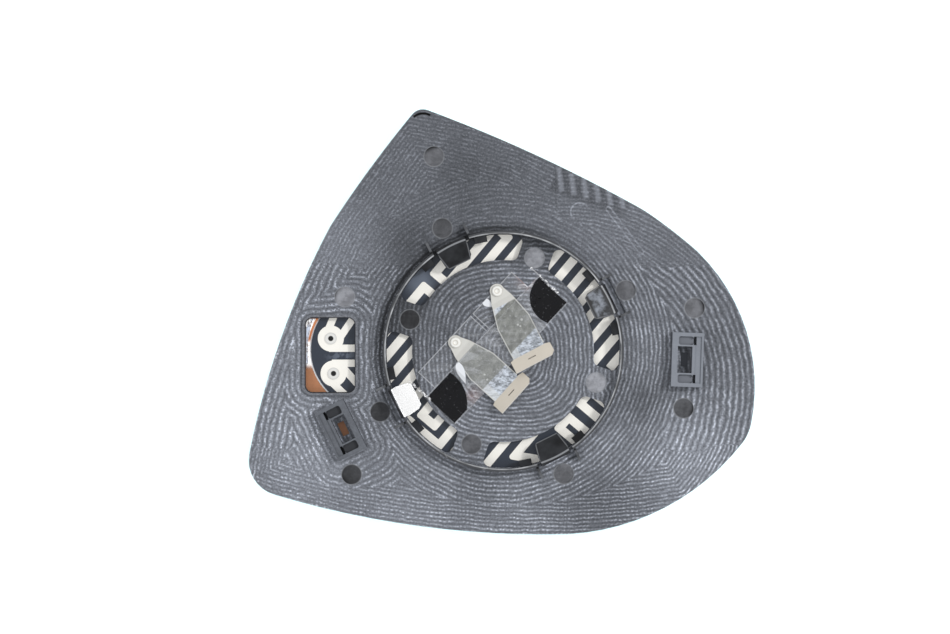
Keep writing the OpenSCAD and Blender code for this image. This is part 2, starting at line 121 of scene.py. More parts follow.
# Middle and half length, along the over tape, of the two tapes under it
UNDER_LEFT = (-12.5, 15.5)
UNDER_RIGHT = (15.5, 11.5)
# Cut lines of the over tape, along it
LEFT_END = -32.8
RIGHT_END = 33.4
END_DEPTH = 1.6
# Painted highlights on folds where the tape is lifted off the plate: from, to and half width
TENT_HIGHLIGHTS = [((-18.4, -4.2), (-14.8, -13.4), 1.7), ((-8.2, 20.4), (-4.0, 17.6), 1.6)]
# Clear film in the window: its lowest y and its length
WRAP_LOW = -8.5
WRAP_LENGTH = 21.4
# Faint lighter bars: how many, the first one's place and the step to the next, right and down
BAR_COUNT = 6
BAR_START = (22.8, 68.6)
BAR_STEP = (4.95, 1.85)
# Where the tape has wetted out on the plate: round patches cut off by the tape's outline
WET_UPPER = (21.4, 21.3, 10.7)
WET_LOWER = (-29.0, -21.0, 14.7)

# Spacing of the milled lines, in millimetres, by the feature that they follow
RING_PITCH = 1.8
EDGE_PITCH = 2.35
FINER_BY = 0.8
WINDOW_PITCH = 2.3
SOCKET_PITCH = 2.2
DISC_PITCH = 1.75

# Colours as written, linear red, green and blue
PLATE_TINT = (0.93, 0.985, 1.12)
MARK_TINT = (0.97, 0.99, 1.08)
MARK_RIM = (0.3, 0.31, 0.33)
SNAP_DULL = (0.032, 0.034, 0.038)
RING_FLAT_SHEEN = (0.07, 0.072, 0.078)
RIB_DARK = (0.06, 0.062, 0.067)
RIB_LIGHT = (0.2, 0.208, 0.225)
HOOK_PATCH_REFLECTION = (0.3, 0.325, 0.375)
HOOK_EDGE = (0.32, 0.33, 0.35)
LEDGE_SHADED = (0.04, 0.042, 0.048)
LEDGE_LIT = (0.17, 0.18, 0.205)
WELL_SHADE = (0.008, 0.008, 0.01)
BAND_DARK = (0.1, 0.105, 0.12)
BAND_LIGHT = (0.24, 0.25, 0.28)
BAND_EDGE = (0.02, 0.021, 0.024)
SLOT_SHADE = (0.012, 0.012, 0.013)
WET_SPECK = (0.2, 0.2, 0.22)
SNAP_BLACK = (0.011, 0.0115, 0.013)
RING_INNER_HIGHLIGHT = (0.5, 0.51, 0.53)
SOCKET_TOP_SHEEN = (0.25, 0.268, 0.305)
WET_BLACK = (0.007, 0.007, 0.0085)
FILM_BLUE = (0.034, 0.044, 0.066)
FILM_HAZE = (0.2, 0.235, 0.3)
TRACK_CREAM = (0.93, 0.9, 0.83)
COPPER = (0.55, 0.235, 0.11)
SILVER = (0.86, 0.87, 0.88)
GLASS_TINT = (0.62, 0.83, 0.86)
TIN_COVERED = (0.215, 0.22, 0.205)
TIN_BARE = (0.5, 0.54, 0.6)
TAB_CREAM = (0.68, 0.62, 0.53)
FOOT_CREAM = (0.72, 0.71, 0.67)
CLEAR_WHITE = (0.8, 0.82, 0.86)
EYELET_WHITE = (0.8, 0.79, 0.76)
EYELET_RIM_SHADE = (0.4, 0.4, 0.39)
EYELET_HOLE_SHADE = (0.005, 0.005, 0.005)
RIVET_BRIGHT = (0.92, 0.91, 0.87)
RIVET_DULL = (0.55, 0.5, 0.42)
RIVET_RIM = (0.45, 0.43, 0.38)
STRIP_SIDE_REFLECTION = (0.75, 0.77, 0.78)
STRIP_EDGE = (0.72, 0.72, 0.68)
TAB_TIP_HIGHLIGHT = (0.88, 0.86, 0.8)
BUBBLE_RING = (0.75, 0.76, 0.74)
TAPE_PINK = (0.5, 0.36, 0.35)
TAPE_GLINT = (0.95, 0.95, 0.97)
WRAP_BLUE = (0.62, 0.67, 0.76)
WRAP_WHITE = (0.98, 0.98, 0.98)
WRAP_DARK = (0.03, 0.03, 0.04)
HOLE_SHADE_AND_BLACK = (0.004, 0.004, 0.004)
ADHESIVE_WHITE = (0.85, 0.87, 0.9)

# Camera, lamps, sky and floor, in metres, but the camera's x and y in millimetres. A lamp's
# energy is its power here * pi * size^2
CAMERA_X = -11.2
CAMERA_Y = 13.6
CAMERA_HEIGHT = 0.9
VIEW_WIDTH = 0.38
SENSOR = 36
LAMP_AWAY = 1.2
KEY_SIZE = 0.16
KEY_POWER = 76
FILL_SIZE = 0.17
FILL_POWER = 13
SKY_COLOUR = (0.97, 0.985, 1.0, 1)
SKY_STRENGTH = 0.69
FLOOR_GLOW = 0.55
FLOOR_HALF = 4


class Sock:
    """A shader socket that takes part in sums, so that a formula adds its own Math nodes."""

    def __init__(self, tree, socket):
        self.tree = tree
        self.socket = socket

    def _math(self, operation, *values):
        return self.tree.add("ShaderNodeMath", {"operation": operation}, *values)

    def __add__(self, other):
        return self._math("ADD", self, other)

    def __sub__(self, other):
        return self._math("SUBTRACT", self, other)

    def __rsub__(self, other):
        return self._math("SUBTRACT", other, self)

    def __mul__(self, other):
        return self._math("MULTIPLY", self, other)

    def __truediv__(self, other):
        return self._math("DIVIDE", self, other)

    def __pow__(self, other):
        return self._math("POWER", self, other)

    def __abs__(self):
        return self._math("ABSOLUTE", self)

    __radd__ = __add__
    __rmul__ = __mul__

    def least(self, other):
        return self._math("MINIMUM", self, other)

    def most(self, other):
        return self._math("MAXIMUM", self, other)

    def root(self):
        return self._math("SQRT", self.most(0.0))

    def sine(self):
        return self._math("SINE", self)

    def ramp(self, low, high):
        """0 at low, 1 at high, smooth between; low may be the larger."""
        node = self.tree.raw("ShaderNodeMapRange", {"interpolation_type": "SMOOTHSTEP"})
        self.tree.plug(node.inputs["Value"], self)
        node.inputs["From Min"].default_value = min(low, high)
        node.inputs["From Max"].default_value = max(low, high)
        node.inputs["To Min"].default_value = 0.0 if low < high else 1.0
        node.inputs["To Max"].default_value = 1.0 if low < high else 0.0
        return Sock(self.tree, node.outputs["Result"])


class Finish:
    """A material's node tree, with one method that adds any node and a few worked-out forms."""

    def __init__(self, name, **constants):
        self.material = bpy.data.materials.new(name)
        self.material.use_nodes = True
        self.nodes = self.material.node_tree.nodes
        self.links = self.material.node_tree.links
        self.shader = self.nodes["Principled BSDF"]
        for socket, value in constants.items():
            self.shader.inputs[socket.replace("_", " ")].default_value = value
        place = self.raw("ShaderNodeTexCoord")
        self.place = Sock(self, place.outputs["Object"])
        self.normal = Sock(self, place.outputs["Normal"])
        split = self.raw("ShaderNodeSeparateXYZ")
        self.plug(split.inputs[0], self.place)
        self.x, self.y, self.z = (Sock(self, s) / MM for s in split.outputs)

    def raw(self, kind, settings=None):
        node = self.nodes.new(kind)
        for key, value in (settings or {}).items():
            setattr(node, key, value)
        return node

    def plug(self, socket, value):
        if isinstance(value, Sock):
            self.links.new(value.socket, socket)
        elif isinstance(value, tuple) and len(value) == 3 and socket.type == "RGBA":
            socket.default_value = (*value, 1.0)
        else:
            socket.default_value = value

    def add(self, kind, settings, *values):
        """Adds a node of one type with its settings, and plugs values into its sockets in order."""
        node = self.raw(kind, settings)
        for socket, value in zip(node.inputs, values):
            if value is not None:
                self.plug(socket, value)
        return Sock(self, node.outputs[0])

    def mix(self, mask, low, high):
        """Colour that goes from low to high as the mask goes from 0 to 1."""
        node = self.raw("ShaderNodeMix", {"data_type": "RGBA"})
        self.plug(node.inputs["Factor"], mask)
        self.plug(node.inputs[6], low)
        self.plug(node.inputs[7], high)
        return Sock(self, node.outputs[2])

    def noise(self, per_metre, detail=2.0, rough=0.5, turn=0.0, stretch=(1, 1, 1)):
        """Noise about 0.5, so many cells to a metre, stretched along axes turned about Z."""
        where = self.place
        if turn or stretch != (1, 1, 1):
            mapping = self.raw("ShaderNodeMapping")
            self.plug(mapping.inputs["Vector"], where)
            mapping.inputs["Rotation"].default_value = (0, 0, math.radians(-turn))
            mapping.inputs["Scale"].default_value = stretch
            where = Sock(self, mapping.outputs[0])
        node = self.raw("ShaderNodeTexNoise")
        self.plug(node.inputs["Vector"], where)
        node.inputs["Scale"].default_value = per_metre
        node.inputs["Detail"].default_value = detail
        node.inputs["Roughness"].default_value = rough
        return Sock(self, node.outputs[0])

    def away(self, x, y):
        """Distance from an upright line, in millimetres."""
        dx, dy = self.x - x, self.y - y
        return (dx * dx + dy * dy).root()

    def turned(self, x, y, angle):
        """Place measured along and across a direction, from a point, in millimetres."""
        c, s = math.cos(math.radians(angle)), math.sin(math.radians(angle))
        dx, dy = self.x - x, self.y - y
        return dx * c + dy * s, dy * c - dx * s

    def box_away(self, x, y, half_w, half_h, angle=0.0):
        """Distance outside a rectangle, negative inside it, in millimetres."""
        u, v = self.turned(x, y, angle)
        du, dv = abs(u) - half_w, abs(v) - half_h
        outside = (du.most(0.0) ** 2 + dv.most(0.0) ** 2).root()
        return outside + du.most(dv).least(0.0)

    def bump(self, height, metres, strength=1.0):
        """Normal of a relief: height of 1 stands this many metres proud."""
        node = self.raw("ShaderNodeBump")
        node.inputs["Strength"].default_value = strength
        node.inputs["Distance"].default_value = metres
        self.plug(node.inputs["Height"], height)
        return Sock(self, node.outputs[0])

    def set(self, **values):
        for name, value in values.items():
            self.plug(self.shader.inputs[name.replace("_", " ")], value)
        return self.material


def side_centre(a, b, radius):
    """Centre of the arc of one radius that runs from a to b, on its left."""
    a, b = np.array(a, float), np.array(b, float)
    d = b - a
    length = np.linalg.norm(d)
    return (a + b) / 2 + np.array([-d[1], d[0]]) / length * math.sqrt(radius**2 - length**2 / 4)


def from_edge(f):
    """Distance in from the nearest side: the side's radius less the distance from its centre.

    The cutter didn't follow the lower right side, but ran on round the centre of the right side,
    which counts on the right half of the plate only: elsewhere its distance is made very large.
    """
    gaps = []
    for a, b, radius in SIDES:
        if radius == SIDE_NOT_CUT:
            continue
        cx, cy = (float(c) for c in side_centre(a, b, radius))
        gap = radius - f.away(cx, cy)
        if radius == TIGHT_SIDE:
            gap = gap + f.x.ramp(22, 14) * OUT_OF_PLAY
        gaps.append(gap)
    return nearest(gaps)


def hook_points(radius, offset=0.0):
    """Places on a circle about the ring's centre, one at each snap hook."""
    angles = [math.radians(HOOK_TURN + offset + 90 * k) for k in range(4)]
    return [(radius * math.cos(a), radius * math.sin(a)) for a in angles]


# Ejector marks as x, y and the lightness of each one's painted sheen: on the plate, the spokes and behind the
# hooks
MARKS = (
    [(-27.6, 77.6, 0.14), (-63.2, 21.6, 0.27), (-60.4, -49.2, 0.05), (76.4, 17.2, 0.15), (72, -22.8, 0.08)]
    + [(x, y, t) for (x, y), t in zip(hook_points(SPOKE_MARK_R, HALF_WAY), (0.26, 0.035, 0.11, 0.33))]
    + [(x, y, t) for (x, y), t in zip(hook_points(HOOK_MARK_R), (0.13, 0.09, 0.05, 0.14))]
)
# Painted sheen and painted shade on the plate as x, y, spread and how much brighter or darker
PAINTED_SHEEN_AND_SHADE = [
    (-90, 0, 60, 0.065),
    (-78, -42, 34, 0.095),
    (-40, -66, 24, 0.035),
    (-69, 46, 30, 0.055),
    (74, -42, 26, 0.095),
    (94, 0, 34, -0.03),
    (39, 48, 30, 0.025),
    (-13, 64, 30, -0.035),
    (-37, 42, 22, -0.05),
    (39, -64, 30, -0.085),
    (-9, -56, 16, -0.045),
    (55, -20, 20, -0.065),
    (-26, 12, 42, -0.055),
    (20, -20, 30, -0.02),
]
# The plate's own tone at the ring's centre, and how much darker it gets for each mm up the picture
PLATE_TONE = 0.182
TONE_FALL = 0.00055


def height_over_plate(f):
    """Height above the plate's curved back: z less r^2 / 2R."""
    return f.z - (f.x * f.x + f.y * f.y) / (2 * PLATE_R)


def all_over(parts):
    """The greatest of several masks at each place."""
    whole = parts[0]
    for part in parts[1:]:
        whole = whole.most(part)
    return whole


def nearest(parts):
    """The least of several distances at each place."""
    least = parts[0]
    for part in parts[1:]:
        least = least.least(part)
    return least


def window_away(f):
    """Distance outside the window, whose corners are round: to a smaller box, less the radius."""
    x, y, half_w, half_h = WINDOW
    return f.box_away(x, y, half_w - WINDOW_CORNER, half_h - WINDOW_CORNER) - WINDOW_CORNER


def tape_rectangle(f, along, across, half_along, half_across):
    """Distance outside a rectangle that lies square to the tape."""
    a, s, c = TAPE_PLACE, math.sin(math.radians(TAPE_TURN)), math.cos(math.radians(TAPE_TURN))
    x = a[0] + along * c - across * s
    y = a[1] + along * s + across * c
    return f.box_away(x, y, half_along, half_across, TAPE_TURN)


def ridge_count(f, ring, inside, fine):
    """Number of the milled ridge at each place, counted out from the nearest feature.

    Outside the ring the cutter ran level with the nearest of edge, ring, window and left socket;
    the edge's lines are closer where fine is 1. Inside it, it ran level with the spokes and with
    (|x - 4|^3 + |y + 1|^3)^(1/3).
    """
    x, y, angle = SOCKETS[0]
    edge = from_edge(f)
    beside_ring = ring - RING_OUT
    window = window_away(f)
    socket = f.box_away(x, y, *SOCKET_HALF, angle) + 3.0
    outer = nearest([
        beside_ring / RING_PITCH,
        edge / (EDGE_PITCH - fine * FINER_BY),
        window / WINDOW_PITCH,
        socket / SOCKET_PITCH,
    ])
    spokes = nearest([f.away(px, py) for px, py in hook_points(SPOKE_R, HALF_WAY)])
    squarish = (abs(f.x - 4) ** 3 + abs(f.y + 1) ** 3) ** (1 / 3)
    inner = nearest([DISC_R + 3.0 - squarish, spokes - 2.0]) / DISC_PITCH
    wobble = (f.noise(45, 3.0, rough=0.6) - 0.5) * 1.5 + (f.noise(320, 2.0) - 0.5) * 0.7
    return outer * (1 - inside) + inner * inside + wobble


def plate_finish():
    """Black moulding that copies the milled mould, with smooth snap parts, sockets and marks.

    The tone of the milled back is tone(x, y) * (lines + scratches + grain + base - hollow), where
    lines is a painted highlight on the crest of each ridge, broken into dashes where the cutter
    stepped, and hollow is painted shade between two crests.
    """
    f = Finish("milled_plate", Specular_IOR_Level=0.2)
    ring = f.away(0, 0)
    height = height_over_plate(f)
    inside = ring.ramp(RING_IN, RING_IN - 0.4)

    drift = (f.noise(35, 2.0) - 0.5) * 12
    upper = (f.y + drift).ramp(33.7, 34.3) * (1 - inside)
    lower = (f.y + drift).ramp(-38.7, -39.3) * (1 - inside)
    count = ridge_count(f, ring, inside, upper.most(lower))
    wave = (count * (2 * math.pi)).sine() * 0.5 + 0.5
    # Painted highlight on each ridge's crest, and painted shade in the hollow between two crests
    crest = wave**3.4
    hollow = (1 - wave) ** 3.0
    grain = f.noise(1300, 4.0, rough=0.8).ramp(0.3, 0.7)
    stepped = f.noise(1300, 2.0, rough=0.6).ramp(0.43, 0.57)
    long_lines = (f.x - f.y * 0.6).ramp(-50, 30).most(inside * 0.6)
    dashes = long_lines * (1 - stepped) * 0.4 + stepped
    columns = ((f.x / 1.6 + f.noise(60, 2.0) * 3) * (2 * math.pi)).sine() * 0.5 + 0.5
    vary = f.noise(190, 4.0, rough=0.75).ramp(0.36, 0.64)
    faint = upper.most(lower * f.x.ramp(10, -60) * 0.45)
    scratches = f.noise(900, 3.0, rough=0.75, turn=58, stretch=(0.3, 1, 1)).ramp(0.58, 0.72)
    scratches = scratches * f.y.ramp(10, 40)

    tone = f.noise(30, 3.0, rough=0.6) * 0.07 + (PLATE_TONE - 0.035) - f.y * TONE_FALL
    # Painted sheen and painted shade: broad lighter and darker patches added to the plate's tone
    for x, y, spread, gain in PAINTED_SHEEN_AND_SHADE:
        tone = tone + f.away(x, y).ramp(spread, 0) * gain
    lines = crest * dashes * (vary * 1.7 + 0.35) * (1 - faint * 0.55)
    lines = lines * (1 - columns * lower * 0.65) * (lower * 0.35 + 1)
    level = tone * (lines + scratches * 0.6 + grain * 0.6 + 0.66 - hollow * (0.3 - faint * 0.15))

    # The plate is darker where the ring's wall keeps light off it
    _, away_from_lamp = f.turned(0, 0, 45)
    shade = (ring - RING_OUT).ramp(4.5, 0.5) * (1 - inside) * (away_from_lamp / ring).ramp(0.1, 0.8)
    inner_shade = ring.ramp(33, 37.5) * inside * (away_from_lamp / ring).ramp(-0.4, 0.5)
    level = level * (1 - shade * (0.75 - wave * 0.3)) * (1 - inner_shade * 0.45)

    # Faint lighter bars in a darker band near the upper right side, a cutter's arc and a double line
    bars = []
    for k in range(BAR_COUNT):
        x = BAR_START[0] + BAR_STEP[0] * k
        y = BAR_START[1] - BAR_STEP[1] * k
        bars.append(f.box_away(x, y, 0.5, 4.4 - 0.45 * k, 8).ramp(1.2, -0.3))
    level = level * (1 - f.box_away(35, 64, 15.5, 5, -20.5).ramp(1.5, -1) * 0.3) + all_over(bars) * 0.125
    arc = abs(f.away(30.6, 55.6) - 3.6).ramp(0.5, 0.1) * (f.y - f.x).ramp(22, 26)
    pair = abs(f.box_away(48.6, 48.2, 10.8, 0, -52.5) - 0.9).ramp(0.45, 0.1)
    level = level + arc.most(pair) * (vary * 0.12 + 0.04)

    # Behind each hook the relief is milled too; painted light lifts it out of the shade of ring and hook
    along_hook, across_hook = f.turned(0, 0, HOOK_TURN)
    out = abs(along_hook).most(abs(across_hook))
    beside = abs(along_hook).least(abs(across_hook))
    relief_here = height.ramp(-0.5, -0.6) * out.ramp(RING_OUT - 0.2, RING_OUT)
    relief_here = relief_here * out.ramp(RELIEF_END, RELIEF_END - 0.2)
    level = level * (1 + relief_here * 0.4)

    sheet = []
    for channel in PLATE_TINT:
        sheet.append(level * channel)
    colour = f.add("ShaderNodeCombineColor", {}, *sheet)

    # Marks: flat and brushed, each with a fine rim, and each painted as light as its sheen
    brushed = f.noise(700, 2.0, turn=35, stretch=(0.15, 1, 1))
    for x, y, sheen_here in MARKS:
        gap = f.away(x, y) - MARK_R
        flat = (brushed * 0.5 + vary * 0.45 + 0.55) * sheen_here
        here = f.add("ShaderNodeCombineColor", {}, *[flat * channel for channel in MARK_TINT])
        colour = f.mix(gap.ramp(0.2, -0.1), colour, here)
        colour = f.mix(abs(gap).ramp(0.35, 0.1) * 0.45, colour, MARK_RIM)

    # Tape that has wetted out fills the ridges and leaves them black
    wet = wet_patches(f, (f.noise(350, 2.0) - 0.5) * 0.45)
    specks = f.noise(900, 2.0, rough=0.6).ramp(0.64, 0.72) * 0.3
    colour = f.mix(wet, colour, f.mix(specks, WET_BLACK, WET_SPECK))

    # Snap parts stand above the plate: black and smooth
    raised = height.ramp(0.2, 0.35)
    snap = raised * abs(ring - SNAP_MIDDLE).ramp(8.4, 8.0)
    dull = f.noise(160, 2.0).ramp(0.3, 0.7)
    colour = f.mix(snap, colour, f.mix(dull, SNAP_BLACK, SNAP_DULL))
    # Ring's top: a dull grey painted sheen, and a bright painted highlight along its inner edge
    top = height.ramp(RING_H - 1.2, RING_H - 1.0) * height.ramp(RING_H - 0.2, RING_H - 0.5)
    colour = f.mix(top * abs(ring - RING_OUT + 0.4).ramp(0.55, 0.35), colour, RING_FLAT_SHEEN)
    colour = f.mix(top * abs(ring - RING_IN - 0.2).ramp(0.4, 0.15) * (dull * 0.7 + 0.3), colour, RING_INNER_HIGHLIGHT)
    ribs = snap * out.ramp(RING_OUT, RING_OUT + 0.4)
    colour = f.mix(ribs, colour, f.mix(dull, RIB_DARK, RIB_LIGHT))

    # A hook's crest, its nose and its sides catch a thin line of light
    # Right hook: pale patches on its slope, partly a mottle in its finish and partly a painted reflection of
    # the lamp
    right_hook = snap * height.ramp(2.2, 2.6) * ring.ramp(RING_IN, RING_IN - 0.5) * along_hook.ramp(30, 35)
    middle = beside.ramp(5.9, 4.6) * out.ramp(HOOK_TIP_R + 0.8, HOOK_TIP_R + 2.0) * out.ramp(45.9, 44.9)
    patches = f.noise(210, 3.0, rough=0.65).ramp(0.36, 0.64) * middle
    colour = f.mix(right_hook * patches, colour, HOOK_PATCH_REFLECTION)
    crest_line = abs(ring - RING_IN).ramp(0.45, 0.2) * height.ramp(5.6, 5.8)
    half_hook = (out - HOOK_TIP_R).most(0.0).least(8.0) * 0.22 + 4.9
    side_line = abs(half_hook - beside - 0.15).ramp(0.35, 0.1) * out.ramp(RING_IN, RING_IN - 0.5)
    nose_line = abs(out - HOOK_TIP_R - 0.2).ramp(0.3, 0.1)
    edges = side_line.most(nose_line) * height.ramp(2.0, 2.3) * 0.4
    colour = f.mix((crest_line * 0.8).most(edges), colour, HOOK_EDGE)

    # Socket blocks: grey tops with a painted sheen, lighter on the right block, and painted shade down inside
    blocks = all_over([f.box_away(x, y, *SOCKET_HALF, angle).ramp(0.15, 0.05) for x, y, angle in SOCKETS])
    # Painted light: the right block's ledges lit, the left's shaded; wells darker lower down, holes black
    ledge = f.mix(f.x.ramp(0, 1), LEDGE_SHADED, LEDGE_LIT)
    shaded_holes = all_over([f.box_away(x, y, 0.9, 2.4, angle).ramp(0.3, 0.1) for x, y, angle in SOCKETS])
    well_shade = f.z.ramp(1.0, 4.2) * 0.6 + 0.4
    block_colour = f.mix(well_shade * (1 - shaded_holes), WELL_SHADE, ledge)
    top_sheen = f.z.ramp(4.55, 4.9) * (dull * 0.2 + grain * 0.3 + 0.55) * (f.x.ramp(-1, 1) * 0.45 + 0.55)
    block_colour = f.mix(top_sheen, block_colour, SOCKET_TOP_SHEEN)
    colour = f.mix(blocks * raised, colour, block_colour)

    # Window's rim: a smoother band, dark at its inner edge
    gap = window_away(f)
    rim = gap.ramp(1.5, 1.3) * raised
    band = f.mix(grain, BAND_DARK, BAND_LIGHT)
    colour = f.mix(rim, colour, f.mix(gap.ramp(0.45, 0.2), band, BAND_EDGE))

    # Painted shade: slots and gaps are painted dark down their walls
    sunk = height.ramp(-0.3, -0.45) * (1 - relief_here) * (1 - blocks)
    colour = f.mix(sunk, colour, SLOT_SHADE)

    smooth = all_over([snap, blocks, wet, rim])
    relief = (wave * 0.7 + grain * 0.5) * (1 - smooth)
    f.set(
        Base_Color=colour,
        Roughness=0.5 - snap * 0.38 - wet * 0.3 + smooth * 0.02 + right_hook * 0.16,
        Normal=f.bump(relief, 0.0001, 0.7),
    )
    return f.material


def simple_finish(name, colour, rough, speckle=0.0, **constants):
    """One colour with a faint mottle."""
    f = Finish(name, **constants)
    mottle = f.noise(300, 3.0)
    low = tuple(c * (1 - speckle) for c in colour)
    f.set(Base_Color=f.mix(mottle, low, colour), Roughness=mottle * 0.1 + (rough - 0.05))
    return f.material


def film_finish():
    """Dark blue heater film with a pale haze at the ring's upper left."""
    f = Finish("film")
    mottle = f.noise(220, 3.0)
    haze = f.away(-33.5, 28.5).ramp(9, 2) * f.noise(60, 2.0).ramp(0.2, 0.6)
    colour = f.mix(mottle, tuple(c * 0.8 for c in FILM_BLUE), FILM_BLUE)
    colour = f.mix(haze * 0.6, colour, FILM_HAZE)
    # Painted highlight: a pale glossy patch on the film in the window, in the haze colour
    gloss_highlight = f.away(-64, -2).ramp(9, 1) * f.noise(500, 3.0).ramp(0.45, 0.6)
    f.set(Base_Color=f.mix(gloss_highlight * 0.5, colour, FILM_HAZE), Roughness=mottle * 0.1 + 0.25)
    return f.material


def coating_finish():
    """Mirror coating: silver towards the glass, copper paint to the plate, black in the eyelets as painted
    shade.
    """
    f = Finish("coating")
    split = f.raw("ShaderNodeSeparateXYZ")
    f.plug(split.inputs[0], f.normal)
    back = Sock(f, split.outputs["Z"]).ramp(0.05, 0.1)
    mottle = f.noise(500, 3.0)
    copper = f.mix(mottle, tuple(c * 0.75 for c in COPPER), COPPER)
    shaded_holes = all_over([f.away(x, y).ramp(1.5, 1.3) for x, y in PADS])
    corner = f.away(-31.8, 88.6).ramp(10, 9)
    # Painted shade: black down the eyelet holes; under the crescent slot in the top corner it is black too
    copper = f.mix(shaded_holes.most(corner), copper, HOLE_SHADE_AND_BLACK)
    f.set(
        Base_Color=f.mix(back, SILVER, copper),
        Metallic=1 - back,
        Roughness=back * 0.45 + 0.02,
    )
    return f.material


def adhesive_finish():
    """Whitish adhesive, seen as a line round the film; dark down inside the eyelets as painted shade."""
    f = Finish("adhesive")
    shaded_holes = all_over([f.away(x, y).ramp(1.4, 1.2) for x, y in PADS])
    colour = f.mix(shaded_holes, ADHESIVE_WHITE, HOLE_SHADE_AND_BLACK)
    f.set(Base_Color=colour, Roughness=0.3, Alpha=shaded_holes.most(0.9))
    return f.material


def eyelet_finish():
    """White flange with a fine grey rim of painted shade, and a hole painted black as shade."""
    f = Finish("eyelet")
    hole = all_over([f.away(x, y).ramp(1.15, 0.95) for x, y in PADS])
    rim = all_over([abs(f.away(x, y) - 2.2).ramp(0.35, 0.1) for x, y in PADS])
    colour = f.mix(rim * 0.22, EYELET_WHITE, EYELET_RIM_SHADE)
    f.set(Base_Color=f.mix(hole, colour, EYELET_HOLE_SHADE), Roughness=0.35)
    return f.material


def terminal_finish(name, x, y, angle, tape_y, tape_half):
    """Tinned strip: cream foot and tab, grey where the tape covers it, pale bare metal between.

    Half the strip's width grows from 4.5 mm at the ramp's foot to 7 mm at the end of the flare.
    """
    f = Finish(name)
    along, across = f.turned(x, y, angle)
    ragged = (f.noise(400, 2.0) - 0.5) * 0.6
    over = (tape_rectangle(f, 0, tape_y, TAPE_L / 2, tape_half) + ragged).ramp(0.15, -0.15)
    mottle = f.noise(420, 4.0, rough=0.65)
    flecks = f.noise(900, 3.0, rough=0.7).ramp(0.6, 0.72)
    streaks = f.noise(750, 4.0, rough=0.8, turn=angle, stretch=(0.5, 1, 1)).ramp(0.36, 0.64)
    bare = f.mix(streaks, tuple(c * 0.3 for c in TIN_BARE), tuple(c * 1.45 for c in TIN_BARE))
    # Painted reflection: a pale band along one side of the bare strip
    bare = f.mix(across.ramp(-3.4, -3.9) * 0.6, bare, STRIP_SIDE_REFLECTION)
    patchy = mottle.ramp(0.3, 0.7)
    covered = f.mix(patchy, tuple(c * 0.75 for c in TIN_COVERED), tuple(c * 1.4 for c in TIN_COVERED))
    covered = f.mix(flecks * 0.45, covered, CLEAR_WHITE)
    bubbles = all_over([abs(f.away(bx, by) - r * 0.5).ramp(0.3, 0.05) for bx, by, r in BUBBLES])
    covered = f.mix(bubbles * 0.7, covered, BUBBLE_RING)
    colour = f.mix(over, bare, covered)
    foot = along.ramp(RAMP_END + 0.5, RAMP_END - 0.1)
    colour = f.mix(foot, colour, f.mix(mottle, tuple(c * 0.85 for c in FOOT_CREAM), FOOT_CREAM))
    half = (along - 3.8).most(0.0).least(FLARE_END - 3.8) * (2.5 / 10.2) + 4.5
    edge = (half - abs(across)).ramp(0.5, 0.2) * along.ramp(RAMP_END, RAMP_END + 0.5)
    colour = f.mix(edge * 0.85, colour, STRIP_EDGE)
    tab = along.ramp(STRIP_L - 0.1, STRIP_L + 0.1)
    tab_colour = f.mix(f.noise(90, 2.0), tuple(c * 0.8 for c in TAB_CREAM), tuple(c * 1.1 for c in TAB_CREAM))
    # Painted highlight: the tab's far end is painted paler
    tip_highlight = along.ramp(STRIP_L + 4.9, STRIP_L + 5.3)
    tab_colour = f.mix(tip_highlight * 0.6, tab_colour, TAB_TIP_HIGHLIGHT)
    colour = f.mix(tab, colour, tab_colour)
    f.set(Base_Color=colour, Metallic=0.25 * (1 - tab) * (1 - foot), Roughness=mottle * 0.15 + 0.3)
    return f.material


def rivet_finish():
    """Bright head with a duller ring round its dimple and a duller rim."""
    f = Finish("rivet")
    places = [place[:2] for place in TERMINALS.values()]
    ring = all_over([abs(f.away(x, y) - 0.95).ramp(0.4, 0.1) for x, y in places])
    rim = all_over([abs(f.away(x, y) - 2.2).ramp(0.3, 0.1) for x, y in places])
    colour = f.mix(ring * 0.5, RIVET_BRIGHT, RIVET_DULL)
    f.set(Base_Color=f.mix(rim * 0.6, colour, RIVET_RIM), Roughness=0.25)
    return f.material


def wet_patches(f, ragged=0.0):
    """Mask of the two patches where the tape has wetted out on the plate."""
    over = tape_rectangle(f, 0, 0, TAPE_L / 2, TAPE_W / 2 - 0.4)
    patches = []
    for x, y, radius in (WET_UPPER, WET_LOWER):
        patches.append((f.away(x, y) - radius).most(over + 0.1 + ragged).ramp(0.25, -0.15))
    return all_over(patches)


def tape_finish(name, along, half_along, across=0.0):
    """Clear tape: almost unseen but for its cut edges, painted highlights where it lifts, and white flecks.
    """
    f = Finish(name)
    gap = tape_rectangle(f, along, across, half_along, TAPE_W / 2)
    beyond = tape_rectangle(f, 0, 0, TAPE_L / 2, TAPE_W / 2).ramp(-0.2, 0.2)
    edge = abs(gap + 0.15).ramp(0.3, 0.1) * (beyond if across else 0.25)
    crease = f.noise(420, 4.0, rough=0.7, turn=TAPE_TURN + 75, stretch=(0.2, 1, 1)).ramp(0.5, 0.64)
    dry = 1 - wet_patches(f)
    # Painted highlights: opaque white on the folds where the tape lifts
    tent_highlights = all_over([tent_highlight(f, *place) for place in TENT_HIGHLIGHTS])
    pinks = f.away(9, 28.4).ramp(6.5, 1).most(f.away(-12, -17.6).ramp(6, 0.5))
    alpha = ((edge * 0.4 + crease * (pinks * 0.5 + 0.14) + pinks * 0.12 + 0.05) * dry).most(tent_highlights)
    colour = f.mix(pinks * (1 - tent_highlights) * (1 - crease), CLEAR_WHITE, TAPE_PINK)
    f.set(Base_Color=colour, Roughness=0.18 + tent_highlights * 0.3, Alpha=alpha)
    return f.material


